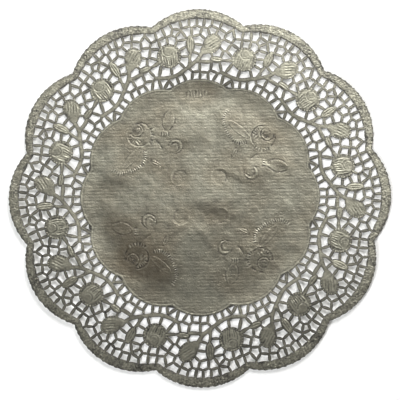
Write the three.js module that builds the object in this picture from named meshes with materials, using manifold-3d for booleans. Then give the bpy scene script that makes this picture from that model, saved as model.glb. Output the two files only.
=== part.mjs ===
// Round paper doily: one die-cut and embossed sheet that lies flat.
// Millimetres, +Z up, +Y towards the top of the sheet, origin at the middle of the underside.
// An angle called "at" is in degrees clockwise from +Y. In the tables of a repeat it counts from the
// peak of the scallop, and r is the distance from the middle of the sheet.

import * as THREE from 'three';
import { mergeVertices } from 'three/addons/utils/BufferGeometryUtils.js';
import Module from 'manifold-3d';

const wasm = await Module();
wasm.setup();

// Driving dimensions
const REPEATS = 12; // scallops round the edge, each over one repeat of the net
const SHEET_THICKNESS = 1.2;
const BAR_WIDTH = 1.75; // paper between two gaps of the net
const OPEN_GAPS = 25; // the widest gaps of each repeat are cut through
const SHORTEST_SIDE = 1.3; // a gap's corners nearer than this become one

// Scalloped lines: the arc of each scallop has its centre at r = reach, below its peak
const OUTLINE = { reach: 96, radius: 54 };
const NET_OUTER_LINE = { reach: 85, radius: 57.1 };
const NET_INNER_LINE = { reach: 58.6, radius: 35.4 };
const OUTLINE_STEPS = 10;

// Relief over the face of the sheet
const ROSE_RISE = 0.8;
const BUD_RISE = 0.7;
const LEAF_RISE = 0.5;
const STEM_RISE = 0.4;
const ROOT = 0.05; // how deep a raised form goes into the sheet
const MARGIN = 0.4; // flat paper between a raised form and the gaps round it

// The net's gaps in one repeat: the middle of each, and its weight as a half width
const GAPS = [
  // along the rim
  { at: -13.05, r: 132.6, size: 3.0 },
  { at: -10.2, r: 134.2, size: 3.0 },
  { at: -7.0, r: 137.6, size: 3.0 },
  { at: -4.2, r: 139.1, size: 3.0 },
  { at: -1.5, r: 139.1, size: 3.0 },
  { at: 1.0, r: 139.3, size: 2.8 },
  { at: 3.35, r: 138.9, size: 3.0 },
  { at: 6.1, r: 138.3, size: 3.0 },
  { at: 9.35, r: 136.3, size: 3.4 },
  { at: 11.4, r: 129.6, size: 3.0 },
  { at: 14.0, r: 132.2, size: 3.0 },
  // second row
  { at: -12.5, r: 126.5, size: 3.0 },
  { at: -9.5, r: 126.6, size: 3.0 },
  { at: -7.7, r: 132.2, size: 2.6 },
  { at: -6.3, r: 128.6, size: 2.8 },
  { at: -3.7, r: 132.1, size: 3.0 },
  { at: -0.5, r: 132.2, size: 3.2 },
  { at: 2.45, r: 130.7, size: 2.8 },
  { at: 5.1, r: 133.1, size: 3.0 },
  { at: 8.0, r: 130.5, size: 3.0 },
  { at: 14.5, r: 125.5, size: 3.0 },
  // between the flower, the bud and the leaves
  { at: -6.1, r: 122.2, size: 3.0 },
  { at: 0.2, r: 125.0, size: 3.6 },
  { at: 10.3, r: 122.0, size: 3.0 },
  { at: 13.15, r: 119.1, size: 3.4 },
  { at: 11.1, r: 113.2, size: 3.2 },
  { at: -0.3, r: 118.3, size: 3.0 },
  { at: -4.9, r: 115.9, size: 3.2 },
  { at: -5.35, r: 108.3, size: 3.4 },
  { at: -1.7, r: 111.0, size: 3.2 },
  { at: 3.1, r: 111.2, size: 4.0 },
  { at: 7.6, r: 115.0, size: 3.4 },
  // under the flower and over the stem
  { at: -9.1, r: 102.9, size: 4.2 },
  { at: -14.6, r: 102.9, size: 4.2 },
  { at: 11.7, r: 106.4, size: 3.6 },
  { at: 7.55, r: 103.4, size: 3.2 },
  { at: 3.0, r: 103.2, size: 4.0 },
  { at: -1.2, r: 102.9, size: 3.0 },
  // along the middle disc
  { at: -4.8, r: 97.1, size: 3.4 },
  { at: -1.1, r: 96.4, size: 3.0 },
  { at: 2.6, r: 96.0, size: 3.0 },
  { at: 6.3, r: 97.1, size: 3.0 },
  { at: 9.55, r: 94.5, size: 3.2 },
  { at: 13.15, r: 94.2, size: 3.0 },
  { at: -8.2, r: 94.9, size: 3.0 },
  { at: -11.6, r: 93.6, size: 3.0 },
  { at: -14.8, r: 90.3, size: 2.6 },
];

// Solid motifs of one repeat: half widths across and along the ray, then turned counter-clockwise
const NET_ROSE = { at: -11.5, r: 114.65, across: 9.7, along: 9.7, turn: 0 };
const NET_BUD = { at: 5.2, r: 122.4, across: 7.4, along: 8.8, turn: -20 };
const NET_LEAVES = [
  { at: -2.9, r: 121.6, across: 3.7, along: 7.4, turn: 0 },
  { at: 7.55, r: 109.9, across: 5.4, along: 2.9, turn: 0 },
];
// Thick stem, from the knot at one side, under the rose and up to the bud
const NET_STEM = {
  width: 3.2,
  points: [
    { at: -19.6, r: 100.4 },
    { at: -15, r: 98.2 },
    { at: -10.8, r: 98 },
    { at: -6.6, r: 101.2 },
    { at: -3.2, r: 104.8 },
    { at: -0.2, r: 109.4 },
    { at: 1.6, r: 114.6 },
  ],
};
// Thin stems, flat in the net: from the tall leaf, and through the low leaf to the next rose
const NET_TWIGS = [
  {
    width: 2.2,
    points: [
      { at: -2.9, r: 115 },
      { at: -4.2, r: 103.6 },
    ],
  },
  {
    width: 2.2,
    points: [
      { at: 0, r: 108.2 },
      { at: 5, r: 108.2 },
      { at: 10.4, r: 109.8 },
      { at: 14.2, r: 112.4 },
    ],
  },
];

// Spray embossed in the middle disc, four times, a quarter turn apart
const SPRAYS = 4;
const SPRAY_ROSE = { at: -43.5, r: 68.6, across: 10, along: 10, turn: 0 };
const SPRAY_BUDS = [
  { at: -23.9, r: 45.5, across: 5.5, along: 5.5, turn: 0 },
  { at: -45.5, r: 22.3, across: 5, along: 5, turn: 0 },
];
const SPRAY_LEAVES = [
  { at: -21.5, r: 65.3, across: 5, along: 9.5, turn: 20 },
  { at: -51.5, r: 44, across: 3, along: 6, turn: 60 },
];
const SPRAY_STEM = {
  width: 3,
  points: [
    { at: -72, r: 72.3 },
    { at: -72.9, r: 62.8 },
    { at: -60.8, r: 52.6 },
    { at: -50.7, r: 54.4 },
  ],
};
// The one open flower by the top edge of the middle disc
const TOP_FLOWER = { at: 0, r: 82.6, across: 11, along: 4, turn: 0 };

const REPEAT_ANGLE = 360 / REPEATS;

function polar(at, r) {
  const angle = THREE.MathUtils.degToRad(at);
  return new THREE.Vector2(r * Math.sin(angle), r * Math.cos(angle));
}

function turned(points, at) {
  const angle = -THREE.MathUtils.degToRad(at);
  return points.map((point) => point.clone().rotateAround(new THREE.Vector2(), angle));
}

// Distance from the middle of the sheet to a scalloped line, at an angle from its peak
function scallopRadius({ reach, radius }, at) {
  const angle = THREE.MathUtils.degToRad(at);
  return reach * Math.cos(angle) + Math.sqrt(radius ** 2 - (reach * Math.sin(angle)) ** 2);
}

// The whole scalloped line, counter-clockwise
function scallopedLoop(line, steps) {
  const points = [];
  for (let repeat = 0; repeat < REPEATS; repeat++) {
    for (let step = 0; step < steps; step++) {
      const at = (step / steps - 0.5) * REPEAT_ANGLE;
      points.unshift(polar(repeat * REPEAT_ANGLE + at, scallopRadius(line, at)));
    }
  }
  return points;
}

// Keeps what lies behind the line that crosses "normal" at "reach"
function trim(polygon, normal, reach) {
  const kept = [];
  polygon.forEach((point, index) => {
    const next = polygon[(index + 1) % polygon.length];
    const here = normal.dot(point) - reach;
    const there = normal.dot(next) - reach;
    if (here <= 0) {
      kept.push(point);
    }
    if (here * there < 0) {
      kept.push(point.clone().lerp(next, here / (here - there)));
    }
  });
  return kept;
}

// Trims along a scalloped line where it passes the gap; side is 1 for the outer line, -1 for the inner
function trimAtScallop(polygon, line, gap, side) {
  const onLine = polar(gap.at, scallopRadius(line, gap.at));
  const normal = onLine.clone().sub(new THREE.Vector2(0, line.reach)).normalize();
  return trim(polygon, normal.clone().multiplyScalar(side), side * normal.dot(onLine));
}

// Trims along the tangent of an oval that faces the gap
function trimAtOval(polygon, oval, middle) {
  const angle = THREE.MathUtils.degToRad(oval.turn - oval.at);
  const centre = polar(oval.at, oval.r);
  const towards = middle.clone().sub(centre).rotateAround(new THREE.Vector2(), -angle);
  const onCircle = new THREE.Vector2(towards.x / oval.across, towards.y / oval.along).normalize();
  const slope = new THREE.Vector2(onCircle.x / oval.across, onCircle.y / oval.along);
  const normal = slope.clone().normalize().rotateAround(new THREE.Vector2(), angle).negate();
  return trim(polygon, normal, normal.dot(centre) - 1 / slope.length());
}

// Trims along the side of a stem that faces the gap
function trimAtStem(polygon, { points, width }, middle) {
  const corners = points.map(({ at, r }) => polar(at, r));
  let nearest = corners[0];
  corners.slice(1).forEach((end, index) => {
    const start = corners[index];
    const along = end.clone().sub(start);
    const share = middle.clone().sub(start).dot(along) / along.lengthSq();
    const point = start.clone().addScaledVector(along, THREE.MathUtils.clamp(share, 0, 1));
    if (point.distanceTo(middle) < nearest.distanceTo(middle)) {
      nearest = point;
    }
  });
  const normal = nearest.clone().sub(middle).normalize();
  return trim(polygon, normal, normal.dot(nearest) - width / 2);
}

function withoutShortSides(polygon) {
  return polygon.flatMap((point, index) => {
    const before = polygon[(index + polygon.length - 1) % polygon.length];
    const next = polygon[(index + 1) % polygon.length];
    if (point.distanceTo(before) < SHORTEST_SIDE) {
      return [];
    }
    return [point.distanceTo(next) < SHORTEST_SIDE ? point.clone().lerp(next, 0.5) : point];
  });
}

// A motif's row, moved to the repeat before or after
function inRepeat(row, repeat) {
  const shift = repeat * REPEAT_ANGLE;
  return row.points
    ? { ...row, points: row.points.map(({ at, r }) => ({ at: at + shift, r })) }
    : { ...row, at: row.at + shift };
}

// A gap is what lies nearer to its own middle than to any other, less half a bar, up to the motifs
function gapPolygon(gap) {
  const LARGEST = 12; // no gap reaches further from its middle
  const middle = polar(gap.at, gap.r);
  let polygon = [
    new THREE.Vector2(middle.x - LARGEST, middle.y - LARGEST),
    new THREE.Vector2(middle.x + LARGEST, middle.y - LARGEST),
    new THREE.Vector2(middle.x + LARGEST, middle.y + LARGEST),
    new THREE.Vector2(middle.x - LARGEST, middle.y + LARGEST),
  ];
  polygon = trimAtScallop(polygon, NET_OUTER_LINE, gap, 1);
  polygon = trimAtScallop(polygon, NET_INNER_LINE, gap, -1);
  for (const repeat of [-1, 0, 1]) {
    for (const row of GAPS) {
      const other = inRepeat(row, repeat);
      const normal = polar(other.at, other.r).sub(middle);
      const distance = normal.length();
      if (distance > 0 && distance < 2 * LARGEST) {
        const border = (distance ** 2 + gap.size ** 2 - other.size ** 2) / (2 * distance);
        normal.normalize();
        polygon = trim(polygon, normal, normal.dot(middle) + border - BAR_WIDTH / 2);
      }
    }
    for (const oval of [NET_ROSE, NET_BUD, ...NET_LEAVES]) {
      polygon = trimAtOval(polygon, inRepeat(oval, repeat), middle);
    }
    for (const stem of [NET_STEM, ...NET_TWIGS]) {
      polygon = trimAtStem(polygon, inRepeat(stem, repeat), middle);
    }
  }
  return withoutShortSides(polygon);
}

function widestGaps() {
  const polygons = GAPS.map(gapPolygon);
  polygons.sort((one, other) => THREE.ShapeUtils.area(other) - THREE.ShapeUtils.area(one));
  return polygons.slice(0, OPEN_GAPS);
}

// The flat sheet with its scalloped edge and the open gaps of every repeat
function flatSheet() {
  const shape = new THREE.Shape(scallopedLoop(OUTLINE, OUTLINE_STEPS));
  for (const polygon of widestGaps()) {
    for (let repeat = 0; repeat < REPEATS; repeat++) {
      shape.holes.push(new THREE.Path(turned(polygon, repeat * REPEAT_ANGLE)));
    }
  }
  return new THREE.ExtrudeGeometry(shape, { depth: SHEET_THICKNESS, bevelEnabled: false });
}

// Puts a form made at the origin, over the plane z = 0, on its place in the sheet
function place(geometry, { at, r, across, along, turn }) {
  geometry.scale(across - MARGIN, along - MARGIN, 1);
  geometry.rotateZ(THREE.MathUtils.degToRad(turn - at));
  const middle = polar(at, r);
  return geometry.translate(middle.x, middle.y, SHEET_THICKNESS);
}

// A round form of radius 1, from pairs of radius and height, going inwards
function lathed(profile, steps) {
  const points = [[0, -ROOT], [1, -ROOT], ...profile].map(([x, y]) => new THREE.Vector2(x, y));
  return new THREE.LatheGeometry(points, steps).rotateX(Math.PI / 2);
}

// A rose from above: outer petals, a hollow, and the raised heart
function rose(row, rise) {
  const profile = [
    [0.85, rise * 0.8],
    [0.5, rise * 0.45],
    [0, rise],
  ];
  return place(lathed(profile, 12), row);
}

function bud(row) {
  const profile = [
    [0.7, BUD_RISE * 0.8],
    [0, BUD_RISE],
  ];
  return place(lathed(profile, 9), row);
}

function leaf(row) {
  return place(lathed([[0, LEAF_RISE]], 8), row);
}

// A raised ribbon with sloping sides, along a smooth line through the points
function stem({ points, width }) {
  const line = new THREE.SplineCurve(points.map(({ at, r }) => polar(at, r)));
  const sides = points.length;
  const loop = [];
  for (const side of [-1, 1]) {
    for (let step = 0; step <= sides; step++) {
      const t = side < 0 ? step / sides : 1 - step / sides;
      const across = line.getTangent(t).rotateAround(new THREE.Vector2(), (side * Math.PI) / 2);
      loop.push(line.getPoint(t).addScaledVector(across, width / 2 - MARGIN));
    }
  }
  const geometry = new THREE.ExtrudeGeometry(new THREE.Shape(loop), {
    depth: ROOT + STEM_RISE,
    bevelEnabled: false,
  });
  return geometry.translate(0, 0, SHEET_THICKNESS - ROOT);
}

function toSolid(geometry) {
  const bare = geometry.clone();
  bare.deleteAttribute('normal');
  bare.deleteAttribute('uv');
  const merged = mergeVertices(bare, 1e-4);
  return new wasm.Manifold(
    new wasm.Mesh({
      numProp: 3,
      vertProperties: new Float32Array(merged.attributes.position.array),
      triVerts: new Uint32Array(merged.index.array),
    }),
  );
}

function toGeometry(solid) {
  const mesh = solid.getMesh();
  const geometry = new THREE.BufferGeometry();
  geometry.setAttribute('position', new THREE.BufferAttribute(new Float32Array(mesh.vertProperties), 3));
  geometry.setIndex(new THREE.BufferAttribute(new Uint32Array(mesh.triVerts), 1));
  geometry.computeVertexNormals();
  return geometry;
}

// Copies of a form round the middle of the sheet, joined to the solid
function joinRound(solid, geometry, copies) {
  let joined = solid;
  for (let copy = 0; copy < copies; copy++) {
    const angle = (2 * Math.PI * copy) / copies;
    joined = joined.add(toSolid(geometry.clone().rotateZ(angle)));
  }
  return joined;
}

function makeDoily() {
  let solid = toSolid(flatSheet());
  const netForms = [rose(NET_ROSE, ROSE_RISE), bud(NET_BUD), ...NET_LEAVES.map(leaf), stem(NET_STEM)];
  for (const form of netForms) {
    solid = joinRound(solid, form, REPEATS);
  }
  const sprayForms = [
    rose(SPRAY_ROSE, ROSE_RISE),
    ...SPRAY_BUDS.map(bud),
    ...SPRAY_LEAVES.map(leaf),
    stem(SPRAY_STEM),
  ];
  for (const form of sprayForms) {
    solid = joinRound(solid, form, SPRAYS);
  }
  return joinRound(solid, leaf(TOP_FLOWER), 1);
}

const paper = new THREE.MeshStandardMaterial({ color: 0x9c9884, roughness: 0.45, metalness: 0.7 });
const doily = new THREE.Mesh(toGeometry(makeDoily()), paper);
doily.name = 'doily';

const part = new THREE.Group();
part.add(doily);

export default part;
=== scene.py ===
"""Round doily of silver foil paper, die-cut and embossed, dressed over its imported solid.

The drawing is made flat, in millimetres: a point of the sheet is a complex number, x to the right and
y to the top, and an angle called "at" is in degrees clockwise from the top. The mesh is in metres.
"""

import math
from collections import namedtuple

import bpy
import numpy as np
from bpy.props import FloatProperty, FloatVectorProperty, PointerProperty
from mathutils import Euler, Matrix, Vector
from mathutils.geometry import delaunay_2d_cdt


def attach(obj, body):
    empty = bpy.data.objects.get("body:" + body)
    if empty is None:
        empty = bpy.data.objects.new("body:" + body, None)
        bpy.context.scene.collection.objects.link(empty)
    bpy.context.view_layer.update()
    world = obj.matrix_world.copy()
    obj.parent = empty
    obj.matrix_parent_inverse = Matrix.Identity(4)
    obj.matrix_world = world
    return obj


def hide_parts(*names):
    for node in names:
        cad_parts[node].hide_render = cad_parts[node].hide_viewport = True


bl_info = {
    "name": "Foil paper doily",
    "version": (1, 0, 0),
    "blender": (4, 5, 0),
    "location": "View3D > Sidebar > Doily",
    "description": "Embossed and die-cut foil paper doily over its packed solid",
    "category": "Add Mesh",
}

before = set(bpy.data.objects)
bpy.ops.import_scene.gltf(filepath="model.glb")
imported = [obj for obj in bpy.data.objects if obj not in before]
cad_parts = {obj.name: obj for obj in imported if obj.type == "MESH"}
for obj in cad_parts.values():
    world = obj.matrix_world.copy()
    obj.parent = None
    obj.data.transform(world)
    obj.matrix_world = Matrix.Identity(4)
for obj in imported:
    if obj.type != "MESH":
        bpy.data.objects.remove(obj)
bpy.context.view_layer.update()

MM = 0.001

# Driving dimensions: the outline and the net's two lines are the solid's
REPEATS = 12
REPEAT_ANGLE = 360 / REPEATS
BAR_WIDTH = 1.8  # paper between two gaps of the net

# A line of arcs round the sheet: how far out their middles are, and their radius
Scallop = namedtuple("Scallop", "reach radius")
OUTLINE = Scallop(reach=96, radius=54)
NET_OUTER_LINE = Scallop(reach=85, radius=57.1)
NET_INNER_LINE = Scallop(reach=58.6, radius=35.4)
TIP_RADIUS = OUTLINE.reach + OUTLINE.radius  # from the middle of the sheet to the tips of its edge

# The net's gaps in one repeat, of which the solid has the widest 25: the middle of each,
# and its weight as a half width
Gap = namedtuple("Gap", "at r size")
GAPS = [
    # along the rim
    Gap(-13.05, 132.6, 3.0),
    Gap(-10.2, 134.2, 3.0),
    Gap(-7.0, 137.6, 3.0),
    Gap(-4.2, 139.1, 3.0),
    Gap(-1.5, 139.1, 3.0),
    Gap(1.0, 139.3, 2.8),
    Gap(3.35, 138.9, 3.0),
    Gap(6.1, 138.3, 3.0),
    Gap(9.35, 136.3, 3.4),
    Gap(11.4, 129.6, 3.0),
    Gap(14.0, 132.2, 3.0),
    # second row
    Gap(-12.5, 126.5, 3.0),
    Gap(-9.5, 126.6, 3.0),
    Gap(-7.7, 132.2, 2.6),
    Gap(-6.3, 128.6, 2.8),
    Gap(-3.7, 132.1, 3.0),
    Gap(-0.5, 132.2, 3.2),
    Gap(2.45, 130.7, 2.8),
    Gap(5.1, 133.1, 3.0),
    Gap(8.0, 130.5, 3.0),
    Gap(14.5, 125.5, 3.0),
    # between the flower, the bud and the leaves
    Gap(-6.1, 122.2, 3.0),
    Gap(0.2, 125.0, 3.6),
    Gap(10.3, 122.0, 3.0),
    Gap(13.15, 119.1, 3.4),
    Gap(11.1, 113.2, 3.2),
    Gap(-0.3, 118.3, 3.0),
    Gap(-4.9, 115.9, 3.2),
    Gap(-5.35, 108.3, 3.4),
    Gap(-1.7, 111.0, 3.2),
    Gap(3.1, 111.2, 4.0),
    Gap(7.6, 115.0, 3.4),
    # under the flower and over the stem
    Gap(-9.1, 102.9, 4.2),
    Gap(-14.6, 102.9, 4.2),
    Gap(11.7, 106.4, 3.6),
    Gap(7.55, 103.4, 3.2),
    Gap(3.0, 103.2, 4.0),
    Gap(-1.2, 102.9, 3.0),
    # along the middle disc
    Gap(-4.8, 97.1, 3.4),
    Gap(-1.1, 96.4, 3.0),
    Gap(2.6, 96.0, 3.0),
    Gap(6.3, 97.1, 3.0),
    Gap(9.55, 94.5, 3.2),
    Gap(13.15, 94.2, 3.0),
    Gap(-8.2, 94.9, 3.0),
    Gap(-11.6, 93.6, 3.0),
    Gap(-14.8, 90.9, 3.0),
]

# Solid motifs: half widths across and along the ray, then turned counter-clockwise
Oval = namedtuple("Oval", "at r across along turn")
NET_ROSE = Oval(at=-11.5, r=114.65, across=9.7, along=9.7, turn=-5)
NET_BUD = Oval(at=5.2, r=122.4, across=7.0, along=8.8, turn=-28)
BUD_FOOT = Oval(at=3.2, r=118, across=4, along=5.4, turn=-47)
TALL_LEAF = Oval(at=-2.9, r=121.6, across=3.7, along=7.4, turn=0)
LOW_LEAF = Oval(at=7.55, r=109.9, across=5.4, along=2.9, turn=0)

# Stems as a width and the points (at, r) that they pass through
Stem = namedtuple("Stem", "width points")
NET_STEM = Stem(
    3.2,
    [(-19.6, 100.4), (-15, 98.2), (-10.8, 98), (-6.6, 101.2), (-3.2, 104.8), (-0.2, 109.4), (1.6, 114.6)],
)
LEAF_TWIG = Stem(2.2, [(-2.9, 115), (-4.2, 103.6)])
LOW_TWIG = Stem(2.2, [(0, 108.2), (5, 108.2), (10.4, 109.8), (14.2, 112.4)])

# Spray embossed in the middle, four times, a quarter turn apart
SPRAYS = 4
SPRAY_ROSE = Oval(at=-43.5, r=68.6, across=10.2, along=10.2, turn=-23)
SPRAY_BUD = Oval(at=-25, r=44.5, across=6.4, along=6.0, turn=201)
SMALL_BUD = Oval(at=-45.5, r=22.3, across=6.8, along=6.8, turn=-60)
CALYX = Oval(at=-36.7, r=52.6, across=1.6, along=4.6, turn=0)
LEAF_FOOT = Oval(at=-28.1, r=57.3, across=3.2, along=2.2, turn=-30)
SPRAY_LEAF = Oval(at=-21.5, r=65.7, across=5.6, along=8.4, turn=-34.5)
WIDE_LEAF = Oval(at=-59.6, r=61.7, across=3.8, along=11.5, turn=80.4)
SMALL_LEAF = Oval(at=-51.5, r=44, across=2.6, along=5, turn=11.5)
SPRAY_STEM = Stem(2.5, [(-72, 72.3), (-72.9, 65.8), (-68, 57), (-60.8, 52.6), (-54, 52.6), (-49.5, 56.5)])
TOP_FLOWER = Oval(at=-0.9, r=82, across=9.8, along=5.4, turn=0)
DISC_REACH = 85  # motifs nearer to the middle than this are embossed in the disc

# How finely lines and distances are worked out
CURVE_POINTS = 24  # on each stretch of a smooth line
STEM_STEP = 1.2  # along a stem
BATCH = 8000  # points taken together, to spare memory


def polar(at, r):
    """The point at an angle and a distance from the middle of the sheet."""
    return 1j * r * np.exp(-1j * np.radians(at))


def turned(points, at):
    """Points turned clockwise about the middle of the sheet."""
    return points * np.exp(-1j * np.radians(at))


def in_top_repeat(points):
    """Points turned by whole repeats, so that they lie round the scallop at the top."""
    at = -np.degrees(np.angle(points / 1j))
    return turned(points, -REPEAT_ANGLE * np.round(at / REPEAT_ANGLE))


def smooth_line(corners, step):
    """Points at most a step apart on a smooth curve through the corners."""
    shares = np.linspace(0, 1, CURVE_POINTS, endpoint=False)
    ends = [2 * corners[0] - corners[1], *corners, 2 * corners[-1] - corners[-2]]
    curve = []
    for before, start, end, after in zip(ends, ends[1:], ends[2:], ends[3:]):
        bend = 2 * before - 5 * start + 4 * end - after + shares * (3 * (start - end) + after - before)
        curve.extend(start + 0.5 * shares * (end - before + shares * bend))
    return evenly(np.array([*curve, corners[-1]]), step)


def evenly(line, step):
    """The same line with its points evenly spaced, at most a step apart."""
    along = np.concatenate([[0], np.cumsum(np.abs(np.diff(line)))])
    stations = np.linspace(0, along[-1], max(1, math.ceil(along[-1] / step)) + 1)
    return np.interp(stations, along, line.real) + 1j * np.interp(stations, along, line.imag)


def stem_line(stem, step=STEM_STEP):
    """The line along the middle of a stem."""
    return smooth_line([polar(at, r) for at, r in stem.points], step)


def outside_scallop(points, line):
    """Distance outside a scalloped line, of points in the top repeat; below zero inside it."""
    return np.minimum(np.abs(points - 1j * line.reach) - line.radius, np.abs(points) - line.reach)


def in_oval(points, oval):
    """Points in an oval's own axes, as parts of its half widths."""
    local = (points - polar(oval.at, oval.r)) * np.exp(-1j * np.radians(oval.turn - oval.at))
    return local.real / oval.across + 1j * local.imag / oval.along


def outside_oval(points, oval):
    """Distance outside an oval, near its edge."""
    local = in_oval(points, oval)
    slope = np.abs(local.real / oval.across + 1j * local.imag / oval.along)
    return (np.abs(local) - 1) * np.abs(local) / np.maximum(slope, 1e-6)


def outside_line(points, line):
    """Distance from a line of points."""
    starts, along = line[:-1], np.diff(line)
    away = points[:, None] - starts
    share = np.clip((away * along.conj()).real / np.abs(along) ** 2, 0, 1)
    return np.abs(away - share * along).min(axis=1)


# The gaps, stems and motifs of three repeats, the one at the top in the middle: what can bound a gap there
THREE_TURNS = (-REPEAT_ANGLE, 0, REPEAT_ANGLE)
GAP_MIDDLES = np.array([polar(gap.at + turn, gap.r) for turn in THREE_TURNS for gap in GAPS])
GAP_LEVELS = np.abs(GAP_MIDDLES) ** 2 - np.tile([gap.size**2 for gap in GAPS], len(THREE_TURNS))
STEM_LINES = [(turned(stem_line(stem), turn), stem.width)
              for turn in THREE_TURNS for stem in (NET_STEM, LEAF_TWIG, LOW_TWIG)]
NET_OVALS = [oval._replace(at=oval.at + turn)
             for turn in THREE_TURNS for oval in (NET_ROSE, NET_BUD, BUD_FOOT, TALL_LEAF, LOW_LEAF)]


def gap_levels(points):
    """Squared distances from each gap, less its weight and what is the same for all gaps."""
    across = np.outer(points.real, GAP_MIDDLES.real) + np.outer(points.imag, GAP_MIDDLES.imag)
    return GAP_LEVELS - 2 * across


def own_gap(points):
    """The gap whose cell each point of the top repeat is in: a cell reaches to the middle of its bars."""
    return gap_levels(points).argmin(axis=1)


def gap_walls(points, own):
    """Distances of points of the top repeat from what can bound their gap, below zero past it.

    The columns are the bars to each other gap, the motifs, the stems, and the net's two lines."""
    levels, each = gap_levels(points), np.arange(len(own))
    apart = np.abs(GAP_MIDDLES[own][:, None] - GAP_MIDDLES)
    apart[each, own] = 1
    bars = (levels - levels[each, own][:, None]) / (2 * apart) - BAR_WIDTH / 2
    bars[each, own] = np.inf
    ovals = [outside_oval(points, oval) for oval in NET_OVALS]
    stems = [outside_line(points, line) - width / 2 for line, width in STEM_LINES]
    local = in_top_repeat(points)
    lines = [-outside_scallop(local, NET_OUTER_LINE), outside_scallop(local, NET_INNER_LINE)]
    return np.concatenate([bars, np.array(ovals + stems + lines).T], axis=1)


def paper_depth(points):
    """How far into the paper points lie from the nearest cut edge; below zero in a gap and off the sheet."""
    local = in_top_repeat(points)
    parts = np.array_split(local, 1 + len(local) // BATCH)
    depth = np.concatenate([-gap_walls(part, own_gap(part)).min(axis=1) for part in parts])
    return np.minimum(depth, -outside_scallop(local, OUTLINE))


# Which of a gap's walls are curved: those along the motifs and the stems
CURVED_WALLS = range(len(GAP_MIDDLES), len(GAP_MIDDLES) + len(NET_OVALS) + len(STEM_LINES))

# Rays from the middle of each gap that find its walls, and the share of the way that they go each time
RAYS = 180
MARCHES = 24
MARCH_SHARE = 0.8
FIRST_REACH = 0.5

# Spacing of the mesh's points, in millimetres
EDGE_STEP = 1.0  # along the sides of a gap
SHORTEST_SIDE = 0.9  # corners of a gap nearer than this become one
FINE_STEP = 1.0  # of the grid round the sprays, in the net and in the rim
MIDDLE_STEP = 1.9  # of the grid in the rest of the disc
UNDER_STEP = 1.9  # of the grid on the underside
LINES_APART = 0.4  # between a drawn line and what is drawn before it
STROKES_APART = 0.5  # the same for the strokes across a stem
BESIDE_APART = 0.62  # the same for the points beside the cut edges
UNDER_BESIDE_APART = 0.8  # and on the underside
DRAWN_DEPTH = 0.35  # between a drawn line and a cut edge
FINE_DEPTH = 0.45  # between a fine grid and a cut edge
COARSE_DEPTH = 0.5  # between a coarse grid and a cut edge
ROUND_SPRAYS = 1.5  # how far the fine grid reaches round the sprays
INSIDE_NET = 4  # how far it reaches into the disc from the net
SAME_POINT = 1e-5  # points nearer than this are taken as one
FILL_SHARE = 0.72  # how near a coarse grid's points come to others, as a part of its spacing
PINCH = 0.065  # how far the sides of a gap bulge into it, as a part of their length


def gap_outlines():
    """The cut outline of each gap of the top repeat, and points half a bar outside it."""
    own = np.repeat(np.arange(len(GAPS)), RAYS) + len(GAPS)
    directions = np.tile(np.exp(2j * np.pi * np.arange(RAYS) / RAYS), len(GAPS))
    reach = np.full(len(own), FIRST_REACH)
    for _ in range(MARCHES):
        walls = gap_walls(GAP_MIDDLES[own] + reach * directions, own)
        reach += MARCH_SHARE * walls.min(axis=1)
    hits = (GAP_MIDDLES[own] + reach * directions).reshape(-1, RAYS)
    sides = walls.argmin(axis=1).reshape(-1, RAYS)
    return [cut_outline(hit, side, middle)
            for hit, side, middle in zip(hits, sides, GAP_MIDDLES[len(GAPS): 2 * len(GAPS)])]


def cut_outline(hits, walls, middle):
    """A gap's outline, clockwise, from where the rays from its middle end and on which wall."""
    rays = len(hits)
    corners = [i if abs(hits[i] - middle) > abs(hits[(i + 1) % rays] - middle) else (i + 1) % rays
               for i in range(rays) if walls[i] != walls[(i + 1) % rays]]
    corners = without_short_sides(hits, sorted(set(corners)))
    outline, outer = [], []
    for start, end in zip(corners, corners[1:] + [corners[0] + rays]):
        side = hits[np.arange(start, end + 1) % rays]
        curved = walls[((start + end) // 2) % rays] in CURVED_WALLS
        side = evenly(side if curved else side[[0, -1]], EDGE_STEP)
        along = side[-1] - side[0]
        inward = 1j * along / abs(along)
        outer.extend(side[1:-1] - inward * BAR_WIDTH / 2)
        if not curved:
            share = np.linspace(0, 1, len(side))
            side = side + inward * PINCH * abs(along) * 4 * share * (1 - share)
        outline.extend(side[:-1])
    return np.array(outline[::-1]), np.array(outer)


def without_short_sides(hits, corners):
    """A gap's corners, with two that are nearer than the shortest side made one between them."""
    rays = len(hits)
    kept = []
    for n, corner in enumerate(corners):
        before, after = corners[n - 1], corners[(n + 1) % len(corners)]
        if abs(hits[corner] - hits[before]) < SHORTEST_SIDE:
            continue
        if abs(hits[corner] - hits[after]) < SHORTEST_SIDE:
            corner = (corner + ((after - corner) % rays) // 2) % rays
        kept.append(corner)
    return sorted(kept)


# Height of the drawing over the paper, in millimetres
BAR_RISE = 0.04
ROSE_RISE = 0.04
ROSE_FOLD = 0.08
HEART_RISE = 0.03
BUD_RISE = 0.04
LEAF_RISE = 0.04
STEM_RISE = 0.06
VEIN_RISE = 0.07
NET_LEAF_RISE = 0.05
BEAD_RISE = 0.09
ARC_RISE = 0.045
GROOVE = 0.05
CALYX_LINE = 0.08
DISH_DEPTH = 0.12
CALYX_DEPTH = 0.07
FACET_RISE = 0.028  # how uneven the hammered rim is
PRESS_SPREAD = 0.45  # how unevenly the drawn lines are pressed, as a part of their height

# A line drawn on a motif of radius 1, its height over the form, and whether it closes
Row = namedtuple("Row", "line rise closed")
# An arc drawn on it, counter-clockwise between two angles from the right, and how many points it has
Arc = namedtuple("Arc", "middle radius start end rise points")

HEART = -0.05 + 0.4j
HEART_RADIUS = 0.36
BORDER_RADIUS = 0.83  # where a groove divides a motif from its beaded border

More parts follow.
